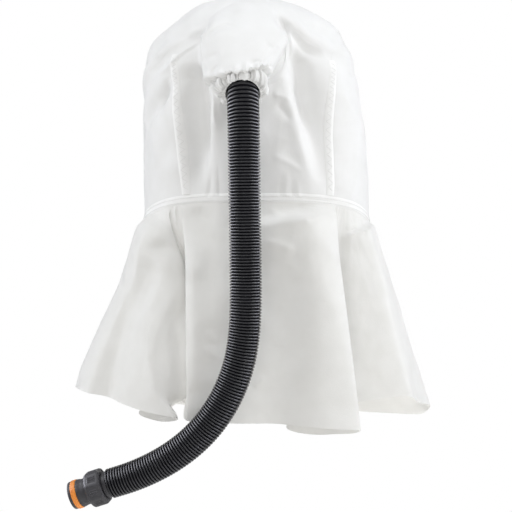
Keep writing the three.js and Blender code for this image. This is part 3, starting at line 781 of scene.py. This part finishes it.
def seam_tape(edge_at, columns, rows):
    """Strip of an even width along a seam, from just under the rim to the neck band, raised off the wall.

    Its lift, 1 - |2 * share|^n of the full one, falls away at its two edges.
    """
    share = np.linspace(-0.5, 0.5, columns)[None, :]
    across = share * tape_width
    lift = tape_lift * (1 - np.abs(2 * share) ** tape_edge_power)
    top = level_at_height(rim_height(seam_top(edge_at)) - tape_width)
    bottom = level_at_height(neck_height + band_height / 2 + sewn_gap)
    level = np.linspace(top, bottom, rows)[:, None]
    strip = hood_point(edge_at(level) + np.degrees(across / wall_radius), level + 0 * across, hood_folds)
    return strip + lift[..., None] * outward_normals(strip)


def thread_piece(name, path, upright, loop=False):
    """Round thread carried along a path of points."""
    tangents = unit(np.gradient(path, axis=0))
    radii = np.full(len(path), thread_radius)
    points = carried_profile(path, tangents, radii, thread_sides, upright)
    piece = grid_piece(name, points, sewing_thread, loop_columns=True, loop_rows=loop)
    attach(piece, "root")
    return piece


def stitch_rise(phase):
    """Height of a thread over the cloth: sqrt(|sin|) of its stitch, diving at both ends of each one."""
    return thread_radius * (stitch_arch * np.sqrt(np.abs(np.sin(np.pi * phase))) - stitch_depth)


def zigzag_thread(name, edge_at):
    """Thread that crosses a seam tape from side to side, leg by leg, and dives through it at each turn."""
    top = level_at_height(rim_height(seam_top(edge_at)) - tape_width - zigzag_leg)
    bottom = level_at_height(neck_height + band_height)
    legs = int((np.interp(top, fine_levels, fine_heights) - neck_height) / zigzag_leg)
    phase = np.linspace(0, legs, legs * leg_samples + 1)
    level = top + (bottom - top) * phase / legs
    across = zigzag_reach * (1 - 2 * np.abs((phase % 2) - 1))
    angle = edge_at(level) + np.degrees(across / wall_radius)
    lift = tape_lift * (1 - np.abs(2 * across / tape_width) ** tape_edge_power) + stitch_rise(phase)
    path = hood_point(angle, level, hood_folds) + lift[:, None] * hood_outward(angle, level)
    return thread_piece(name, path, (0, 1, 0))


tape_columns = 21
tape_rows = 170
seam_tapes = {
    "seam_tape_left": (left_seam, (0.010, 0.220)),
    "seam_tape_right": (right_seam, (0.010, 0.196)),
}
for node, (edge_at, flat) in seam_tapes.items():
    strip = seam_tape(edge_at, tape_columns, tape_rows)
    piece = walled(grid_piece(f"{node}_strip", strip, seam_tape_cloth), tape_sheet)
    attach(piece, "root")
    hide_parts(node)
    thread = zigzag_thread(f"{node}_thread", edge_at)


# Cape: one wide piece of the cloth, gathered into the neck seam and hanging over the shoulders and back.
# Two deep folds on the back turn its edges under, so that its middle hangs as a flat panel behind the hose.
# Its white is painted a little darker and warmer than the hood's, though it is the same cloth: painted warm
# shade on the cape.
cape_hem = {
    "neck": (-88, -70, -58, -51, -49.5, -47.5, -45, -42.5, -40, -22, 12, 30, 44, 46, 48.5, 51, 56, 66, 73,
             88, 104, 116, 132, 156, 180, 204, 228, 252),
    "x": (-222, -173, -129, -89, -112, -138, -112, -86, -79, -45.5, 36.5, 85, 117.5, 84, 40, 74, 130, 184,
          196, 222, 222, 204, 145, 60, 0, -60, -140, -200),
    "y": (5, -70, -118, -138, -105, -84, -72, -82, -138, -143, -147, -143, -130, -117, -92, -78, -76, -45,
          -30, 15, 62, 90, 130, 178, 190, 178, 135, 75),
    "z": (-482, -482, -490, -498, -507, -501, -489, -488, -500.5, -503, -504, -506.5, -510, -521, -517,
          -492, -487, -482, -494, -509, -528, -534, -538, -542, -544, -540, -525, -500),
}
cape_flare = 1.06
cape_valley = {
    "station": (2, 3, 4, 5, 6, 7, 8),
    "x": (-4, -21, 26, 68, 46, 22, 0),
    "y": (0, 4, -20, -28, -22, -10, 0),
}
valley_opens = (0.3, 0.76)
valley_closes = (0.86, 1)
cape_overlap = {
    "station": (1, 2, 3, 4, 5, 6, 7, 8),
    "x": (0, 6, 17, 30, 40, 30, 20, 0),
    "y": (0, 3, 7, 6, 4, 2, 0, 0),
}
overlap_opens = (0.02, 0.42)
overlap_closes = (0.38, 0.65)
cape_left_ridge = {
    "station": (0, 0.1, 0.28, 1, 2, 3),
    "y": (0, -28, -44, -34, -14, 0),
    "z": (0, 4, 6, 1, 0, 0),
}
cape_right_ridge = {
    "station": (15, 16, 17, 18, 19),
    "x": (0, 0, -3, -2, 0),
    "y": (0, -4, -23, -10, 0),
}
hem_stations = len(cape_hem["neck"])
hem_lead = 3
hem_corners = mm * np.stack([cape_hem[axis] for axis in "xyz"], axis=-1)
hem_padded = np.concatenate([hem_corners[-hem_lead:], hem_corners, hem_corners[:hem_lead + 1]])
hem_knots = chord_knots(hem_padded)
neck_angles = np.array([*cape_hem["neck"], cape_hem["neck"][0] + 360])


def hem_point(station):
    """Point of the hem at a station, on the closed smooth curve through the hem's corners."""
    knot = np.interp(station + hem_lead, np.arange(len(hem_knots)), hem_knots)
    return smooth_through(hem_knots, hem_padded, knot)


def neck_angle(station):
    """Angle of the neck seam that a station of the hem hangs from."""
    return smooth_through(np.arange(hem_stations + 1), neck_angles, station)


def eased(value, low, high):
    """Smooth step from 0 to 1 as a value goes from low to high."""
    t = np.clip((value - low) / (high - low), 0, 1)
    return t * t * (3 - 2 * t)


def cape_shift(table, station):
    """Shift of the cape in x, y and z at a station, on the cubic through a table, held beyond its ends."""
    first, last = table["station"][0], table["station"][-1]
    inside = np.clip(station, first, last)
    still = np.zeros(len(table["station"]))
    columns = np.stack([table.get(axis, still) for axis in "xyz"], axis=-1)
    return mm * smooth_through(table["station"], columns, inside)


def cape_point(station, v):
    """Cape's outer surface: straight from the neck seam (v = 0) to the hem (v = 1), spreading as v^flare.

    The valley and the overlap of the left fold open and close on the way down. The two ridges grow with v.
    """
    neck = hood_point(neck_angle(station), np.full(np.shape(station), float(neck_level)))
    hem = hem_point(station)
    spread = (v ** cape_flare)[..., None]
    points = neck + (hem - neck) * spread
    points[..., 2] = neck[..., 2] - sewn_gap + (hem[..., 2] - neck[..., 2] + sewn_gap) * v
    valley_open = eased(v, *valley_opens) * (1 - eased(v, *valley_closes))
    points = points + cape_shift(cape_valley, station) * valley_open[..., None]
    lapped = eased(v, *overlap_opens) * (1 - eased(v, *overlap_closes))
    points = points + cape_shift(cape_overlap, station) * lapped[..., None]
    ridges = cape_shift(cape_left_ridge, station) + cape_shift(cape_right_ridge, station)
    return points + ridges * v[..., None]


cape_columns = 420
cape_rows = 105
cape_back_crowding = 1.6
cape_back_end = 20.5
cape_wrap = 24
cape_length = 0.27
cape_seam_fade = 0.05
cape_crumple = 0.0006
cape_crumple_seed = 8

fine_stations = np.linspace(0, hem_stations, 4001)
hem_steps = np.linalg.norm(np.diff(hem_point(fine_stations), axis=0), axis=1)
hem_steps = hem_steps * np.where(fine_stations[1:] < cape_back_end, cape_back_crowding, 1)
hem_run = np.concatenate([[0], np.cumsum(hem_steps)])
cape_run = np.linspace(0, hem_run[-1], cape_columns, endpoint=False)[None, :]
cape_station = np.interp(cape_run, hem_run, fine_stations)
cape_v = np.linspace(0, 1, cape_rows)[:, None]
cape_flat_points = cape_point(cape_station + 0 * cape_v, cape_v + 0 * cape_station)
cape_folds = {
    "left": (-2, -0.5, 2.8, 3.6, (
        Fold([(-115, -268), (-125, -290), (-142, -340), (-165, -388), (-187, -448), (-216, -530)],
             8, 16, 26, 1.05, 0.2, 0.02),
        Fold([(-118, -262), (-128, -290), (-142, -335), (-160, -380)], 9, 24, 18, 1.6, 0.15, 0.7),
        Fold([(-114, -310), (-128, -335), (-154, -393), (-173, -450), (-190, -530)],
             -11, 16, 22, 1.8, 0.3, 0.02),
        Fold([(-94, -300), (-102, -325), (-122, -373), (-149, -417)], 5, 24, 22, 1.6),
    )),
    "centre": (7.7, 8.3, 12.3, 12.9, (
        Fold([(60, -250), (64, -271), (70, -309), (84, -360), (100, -416), (128, -550)],
             20, 60, 32, 1.7, 0.15, 0.02),
        Fold([(21, -275), (24, -394), (19, -550)], -12, 36, 36, 2, 0.3, 0.02),
        Fold([(-20, -360), (-40, -440), (-58, -550)], -9, 30, 30, 2, 0.4, 0.02),
        Fold([(15, -252), (34, -262), (53, -262), (64, -273)], 4, 10, 4, 1.3),
        Fold([(4, -289), (28, -294), (48, -303)], 3, 10, 5, 1.6),
        Fold([(26, -312), (44, -322), (56, -338)], 2, 12, 7, 1.6),
        Fold([(-56, -394), (-47, -412)], 2, 4, 4, 1.3),
        Fold([(-58, -412), (-44, -430)], 2, 4, 4, 1.3),
        Fold([(0, -462), (14, -449)], 2.5, 4, 4, 1.3),
        Fold([(22, -410), (42, -411)], 1, 3, 3, 1.3),
        Fold([(-68, -250), (-60, -262), (-45, -266)], -1.5, 7, 8, 1.8),
        Fold([(-71, -300), (-69, -380), (-68, -470)], 4, 10, 14, 1.2, 0.3, 0.1),
    )),
    "right": (15.2, 15.8, 19.5, 21, (
        Fold([(130, -275), (134, -287), (147, -327), (160, -370), (172, -415), (196, -530)],
             12, 34, 22, 1.05, 0.1, 0.02),
        Fold([(106, -276), (123, -277), (138, -287)], 1.5, 4, 5, 1.4),
    )),
}
cape_lap = np.where(cape_station > cape_wrap, cape_station - hem_stations, cape_station)
cape_fold = crumple(cape_run + 0 * cape_v, cape_length * cape_v, cape_crumple_seed, cape_crumple)
for begin, full, last, end, folds in cape_folds.values():
    panel = eased(cape_lap, begin, full) * (1 - eased(cape_lap, last, end))
    cape_fold = cape_fold + panel * fold_heights(folds, cape_flat_points[..., 0], cape_flat_points[..., 2])
cape_fold = cape_fold * eased(cape_v, 0, cape_seam_fade)
cape_out = cape_flat_points * (0.5, 1, 0) - (0, 0.02, 0)
cape_points = cape_flat_points + unit(cape_out) * cape_fold[..., None]
# Painted shade: the hood's white cloth, painted a little darker and warmer for the shade that falls on the
# cape.
cape_painted_warm_shade = cloth_material(
    "cape_painted_warm_shade", (0.85, 0.847, 0.833), (0.82, 0.817, 0.8), 0.68, 0.00015, 0.0003, 0.006)
cape = walled(grid_piece("cape_cloth", cape_points, cape_painted_warm_shade, loop_columns=True), cloth)
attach(cape, "root")
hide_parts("cape")


# Neck band: a narrow binding of the seam tape, laid over the neck seam all round. It is sewn through wall
# and cape with two rows of stitches, and it hangs with the cape.
band_lift = 0.0011
band_sheet = 0.0009
band_columns = 640
band_across = 17
band_stitches = 200
band_rows = {"upper": -0.002, "lower": 0.003}

neck_by_station = neck_angle(fine_stations)


def straight_out(angle):
    """Level unit vectors straight out of the hood at angles from the back."""
    sine, cosine = sine_cosine(angle)
    return np.stack([sine, -cosine, 0 * sine], axis=-1)


def band_point(angle, below):
    """Binding's surface at an angle and a drop below the neck seam: on the wall above, on the cape below."""
    station = np.interp((angle - neck_angles[0]) % 360 + neck_angles[0], neck_by_station, fine_stations)
    neck = hood_point(angle, np.full(angle.shape, float(neck_level)))
    drop = neck[..., 2] - hem_point(station)[..., 2]
    on_cape = cape_point(station, np.maximum(below, 0) / drop)
    on_wall = hood_point(angle, level_at_height(neck_height - np.minimum(below, 0)), hood_folds)
    points = np.where((below > 0)[..., None], on_cape, on_wall)
    lift = band_lift * (1 - np.abs(2 * below / band_height) ** tape_edge_power)
    points = points + lift[..., None] * straight_out(angle)
    points[..., 2] = neck[..., 2] - below
    return points


band_angle = np.linspace(-180, 180, band_columns, endpoint=False)[None, :]
band_below = np.linspace(-0.5, 0.5, band_across)[:, None] * band_height
band_points = band_point(band_angle + 0 * band_below, band_below + 0 * band_angle)
neck_band = walled(grid_piece("neck_binding", band_points, seam_tape_cloth, loop_columns=True), band_sheet)
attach(neck_band, "root")
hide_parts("neck_band")
for row, below in band_rows.items():
    phase = np.linspace(0, band_stitches, band_stitches * leg_samples, endpoint=False)
    angle = 360 * phase / band_stitches - 180
    on_band = band_point(angle, np.full(angle.shape, below))
    stitch_path = on_band + stitch_rise(phase)[:, None] * straight_out(angle)
    thread_piece(f"neck_binding_thread_{row}", stitch_path, (0, 0, 1), loop=True)


# Hose sleeve: a pouch of the cloth sewn to the back of the crown. Its front hangs as a flap with a crisp,
# slightly ruffled lip. Under the lip the cloth is drawn in round the hose by an elastic, in close pleats.
sleeve_root_angle = -6
sleeve_root_z = -0.063
sleeve_spread = 26
sleeve_reach_up = 0.053
sleeve_reach_down = 0.044
sleeve_squareness = 3
sleeve_flange = 1.08
sleeve_lift = 0.0014
flange_lift = 0.0002
lip_start = 0.9
sleeve_steps = (0, 0.07, 0.38, 0.66, 0.70, 0.735, 0.87, 1)
sleeve_ribs = {
    "around": (0, 30, 56, 72, 82, 96, 112, 135, 180, 226, 254, 270, 282, 305, 332),
    "belly": ((-11, -133, -45), (12, -131, -46), (28, -127, -49), (35, -122, -53), (39, -116, -57),
              (36, -106, -66), (31, -106, -80), (19, -109, -96), (-13, -114, -108), (-45, -109, -100),
              (-58, -107, -78), (-63, -117, -57), (-59, -123, -53), (-46, -129, -48), (-29, -132, -46)),
    "brink": ((-11, -180, -96), (3, -178, -91.5), (10, -174, -89), (16, -168, -91), (18, -160, -94),
              (18, -149, -100), (14, -139, -106), (6, -131, -112), (-13, -125, -117), (-36, -129, -116),
              (-50, -138, -109), (-58, -149, -102), (-54, -158, -102), (-41, -170, -100),
              (-26, -178, -96.5)),
}
lip_tuck = 0.010
lip_drop = 0.002
mouth_puff = 0.003
mouth_along = 0.018
mouth_slant = 0.012
mouth_clearance = 0.0003
mouth_gathers = 40
mouth_gather_depth = 0.0065
mouth_gather_at_hose = 0.25
pleat_sharpness = 1.5
pleat_bends = ((1.2, 3), (0.7, 7))
pleat_uneven = (0.3, 11, 60)
pleats_rise = (0.69, 0.78)
pleats_fall = (0.94, 1)
lip_ruffles = 13
lip_ruffle = 0.0022
lip_ruffle_spread = 0.05
lip_ruffle_bend = (0.9, 5)
sleeve_columns = 350
sleeve_rows = 100
sleeve_crowding = 0.8
sleeve_front_depth = (0.105, 0.125)
sleeve_folds_end = (0.7, 0.76)
sleeve_folds = (
    Fold([(-60, -57), (-50, -50), (-32, -40), (-16, -37)], -5, 3, 4, 1.4),
    Fold([(-60, -84), (-50, -79), (-38, -73)], -3.5, 5, 5, 1.4),
    Fold([(-63, -42), (-61, -50), (-59, -62)], -6, 2, 3, 1.6, 0.3, 0.3),
    Fold([(40, -36), (38, -58), (32, -77), (17, -91)], 4, 10, 3, 1.2, 0.1, 0.1),
    Fold([(-46, -90), (-40, -95)], -2.5, 5, 5, 1.8, 0.4, 0.4),
    Fold([(-8, -89), (4, -85), (10, -88)], -4, 3, 3, 1.6),
    Fold([(10, -60), (22, -68), (30, -66)], -3, 4, 3, 1.4),
)

mouth_around = np.linspace(0, 360, sleeve_columns, endpoint=False)


def sleeve_edge(around, scale, lift):
    """Sleeve's sewn edge on the hood: a rounded square of angles and heights, lifted off its surface."""
    sine, cosine = sine_cosine(around)
    power = sleeve_squareness
    corner = (np.abs(sine) ** power + np.abs(cosine) ** power) ** (-1 / power)
    angle = sleeve_root_angle + sleeve_spread * scale * corner * sine
    reach = np.where(cosine > 0, sleeve_reach_up, sleeve_reach_down)
    level = level_at_height(sleeve_root_z + reach * scale * corner * cosine)
    return hood_point(angle, level, hood_folds) + lift * hood_outward(angle, level)


def sleeve_surface(around, v):
    """Sleeve from its sewn flange over belly, lip and tuck to the mouth: a cubic through eight rings.

    The mouth's ring slants down to the hood, and the ring before it puffs out. Pleats of uneven width,
    (0.5 + 0.5 cos)^n of the angle round the hose bent by two sines, stand up between the lip and the mouth.
    A sine of the angle, bent by another, ruffles the lip in a bell over v.
    """
    sine, cosine = sine_cosine(around[:, None])
    laps = np.concatenate([np.array(sleeve_ribs["around"]) + turn for turn in (-360, 0, 360)])
    belly = mm * smooth_through(laps, np.tile(sleeve_ribs["belly"], (3, 1)), around)
    brink = mm * smooth_through(laps, np.tile(sleeve_ribs["brink"], (3, 1)), around)
    centre, axis = hose_at(mouth_along + mouth_slant * (1 - cosine[:, 0]))
    near = unit(np.cross(axis, (1, 0, 0)))
    bent = np.radians(around * mouth_gathers)
    for size, times in pleat_bends:
        bent = bent + size * np.sin(np.radians(times * around))
    size, times, start = pleat_uneven
    uneven = 1 - size + size * np.sin(np.radians(times * around + start))
    pleat = mouth_gather_depth * uneven * (0.5 + 0.5 * np.cos(bent)) ** pleat_sharpness
    radius = (hose_crest + mouth_clearance + cloth + mouth_gather_at_hose * pleat)[:, None]
    spoke = np.cross(near, axis) * sine + near * cosine
    mouth = centre + radius * spoke
    tuck = brink - lip_tuck * spoke * (1, 1, 0) - (0, 0, lip_drop)
    puff = (tuck + mouth) / 2 + mouth_puff * spoke
    flange = sleeve_edge(around, sleeve_flange, flange_lift)
    edge = sleeve_edge(around, 1, sleeve_lift)
    before_lip = belly + lip_start * (brink - belly)
    rings = np.stack([flange, edge, belly, before_lip, brink, tuck, puff, mouth])
    points = smooth_through(sleeve_steps, rings, v)
    swell = pleat * (eased(v, *pleats_rise) * (1 - eased(v, *pleats_fall)))[:, None]
    size, times = lip_ruffle_bend
    bent = np.radians(lip_ruffles * around) + size * np.sin(np.radians(times * around))
    ruffle = lip_ruffle * np.sin(bent)
    swell = swell + ruffle * np.exp(-((v - sleeve_steps[4]) / lip_ruffle_spread) ** 2)[:, None]
    return points + swell[..., None] * outward_normals(points)


sleeve_v = np.linspace(0, 1, sleeve_rows) ** sleeve_crowding
sleeve_points = sleeve_surface(mouth_around, sleeve_v)
sleeve_front = eased(-sleeve_points[..., 1], *sleeve_front_depth)
sleeve_fold = fold_heights(sleeve_folds, sleeve_points[..., 0], sleeve_points[..., 2])
sleeve_fold = sleeve_fold * sleeve_front * (1 - eased(sleeve_v, *sleeve_folds_end))[:, None]
sleeve_points = sleeve_points + sleeve_fold[..., None] * np.array((0, -1, 0))
sleeve = walled(grid_piece("hose_sleeve_cloth", sleeve_points, hood_cloth, loop_columns=True), cloth)
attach(sleeve, "root")
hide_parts("hose_sleeve")


# Elbow: the bent tube inside the sleeve that joins the hose to the hood, moulded in the coupling's plastic.
# It stays as the solid is, because only its end shows, inside the hood.
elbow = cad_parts["hose_elbow"]
elbow.data.materials.clear()
elbow.data.materials.append(fitting_plastic)


# Studio: a pale floor under the hood and soft light from large panels above, on both sides, low in front and
# under the cape, strongest on the right. Panels marked cloth give no reflections, and those marked gleam
# give nothing else. Camera rays see the floor and the air round the hood as plain white.
floor_height = -0.95
floor_reach = 14.0
floor_rough = 0.8
floor_scale = 6
air_strength = 0.35
studio_panels = {
    "top_panel": ((0.0, -0.5, 1.7), (1.2, 1.2), 6, (0.96, 0.98, 1), "all"),
    "high_left_panel": ((-1.3, -0.5, 0.9), (0.9, 1.1), 11, (0.96, 0.98, 1), "all"),
    "high_right_panel": ((1.3, -0.5, 0.9), (0.9, 1.1), 13, (0.96, 0.98, 1), "all"),
    "left_panel": ((-1.7, -0.1, 0.1), (0.9, 1.6), 3.8, (0.98, 0.99, 1), "cloth"),
    "right_panel": ((1.7, -0.1, 0.1), (0.9, 1.6), 4.8, (0.98, 0.99, 1), "cloth"),
    "near_right_panel": ((1.3, -1.3, 0.0), (0.9, 1.6), 2.5, (0.98, 0.99, 1), "cloth"),
    "low_panel": ((0.0, -2.2, -0.7), (1.6, 0.6), 8, (1, 0.96, 0.89), "cloth"),
    "near_left_panel": ((-0.7, -2.3, 0.1), (0.9, 0.9), 1.6, (1, 0.98, 0.95), "cloth"),
    "under_panel": ((0.02, 0.0, -0.8), (0.7, 0.5), 1.1, (1, 0.98, 0.94), "cloth"),
    "left_gleam": ((-1.3, 0.15, -0.2), (1.5, 0.7), 24, (0.88, 0.89, 1), "gleam"),
    "right_gleam": ((1.3, 0.15, -0.2), (1.5, 0.7), 20, (0.88, 0.89, 1), "gleam"),
}
studio_aim = np.array((0, 0, -0.25))


def seen_white(tree, lit, white, surface):
    """Shows camera rays a plain white and all other rays the lit shader."""
    path = tree.nodes.new("ShaderNodeLightPath")
    mix = tree.nodes.new("ShaderNodeMixShader")
    tree.links.new(path.outputs["Is Camera Ray"], mix.inputs["Fac"])
    tree.links.new(lit, mix.inputs[1])
    tree.links.new(white, mix.inputs[2])
    tree.links.new(mix.outputs["Shader"], surface)


floor_white, floor_tree, floor_shader = new_material("floor_white")
floor_grain = noise(floor_tree, 2, floor_scale).outputs["Fac"]
feed(floor_shader, Base_Color=blended(floor_tree, floor_grain, (0.8, 0.8, 0.79), (0.84, 0.84, 0.83)),
     Roughness=floor_rough)
floor_glow = floor_tree.nodes.new("ShaderNodeEmission")
seen_white(floor_tree, floor_shader.outputs["BSDF"], floor_glow.outputs["Emission"],
           floor_tree.nodes["Material Output"].inputs["Surface"])

floor_x, floor_y = np.meshgrid(np.linspace(-1, 1, 9) * floor_reach, np.linspace(1, -1, 9) * floor_reach)
floor_points = np.stack([floor_x, floor_y, np.full(floor_x.shape, floor_height)], axis=-1)
floor = grid_piece("floor", floor_points, floor_white)

world = bpy.data.worlds.new("studio_air")
bpy.context.scene.world = world
world.use_nodes = True
air = world.node_tree
air_light = air.nodes["Background"]
feed(air_light, Color=(1, 1, 1, 1), Strength=air_strength)
air_seen = air.nodes.new("ShaderNodeBackground")
feed(air_seen, Color=(1, 1, 1, 1))
seen_white(air, air_light.outputs["Background"], air_seen.outputs["Background"],
           air.nodes["World Output"].inputs["Surface"])

for name, (place, size, power, colour, shows) in studio_panels.items():
    light = bpy.data.lights.new(name, "AREA")
    light.shape = "RECTANGLE"
    light.size, light.size_y = size
    light.energy = power
    light.color = colour
    panel = bpy.data.objects.new(name, light)
    away = np.array(place) - studio_aim
    panel.location = place
    panel.rotation_euler = (
        math.acos(away[2] / np.linalg.norm(away)), 0, math.atan2(away[1], away[0]) + math.pi / 2)
    panel.visible_camera = False
    panel.visible_diffuse = shows != "gleam"
    panel.visible_glossy = shows != "cloth"
    bpy.context.scene.collection.objects.link(panel)

bpy.context.scene.view_settings.view_transform = "Standard"
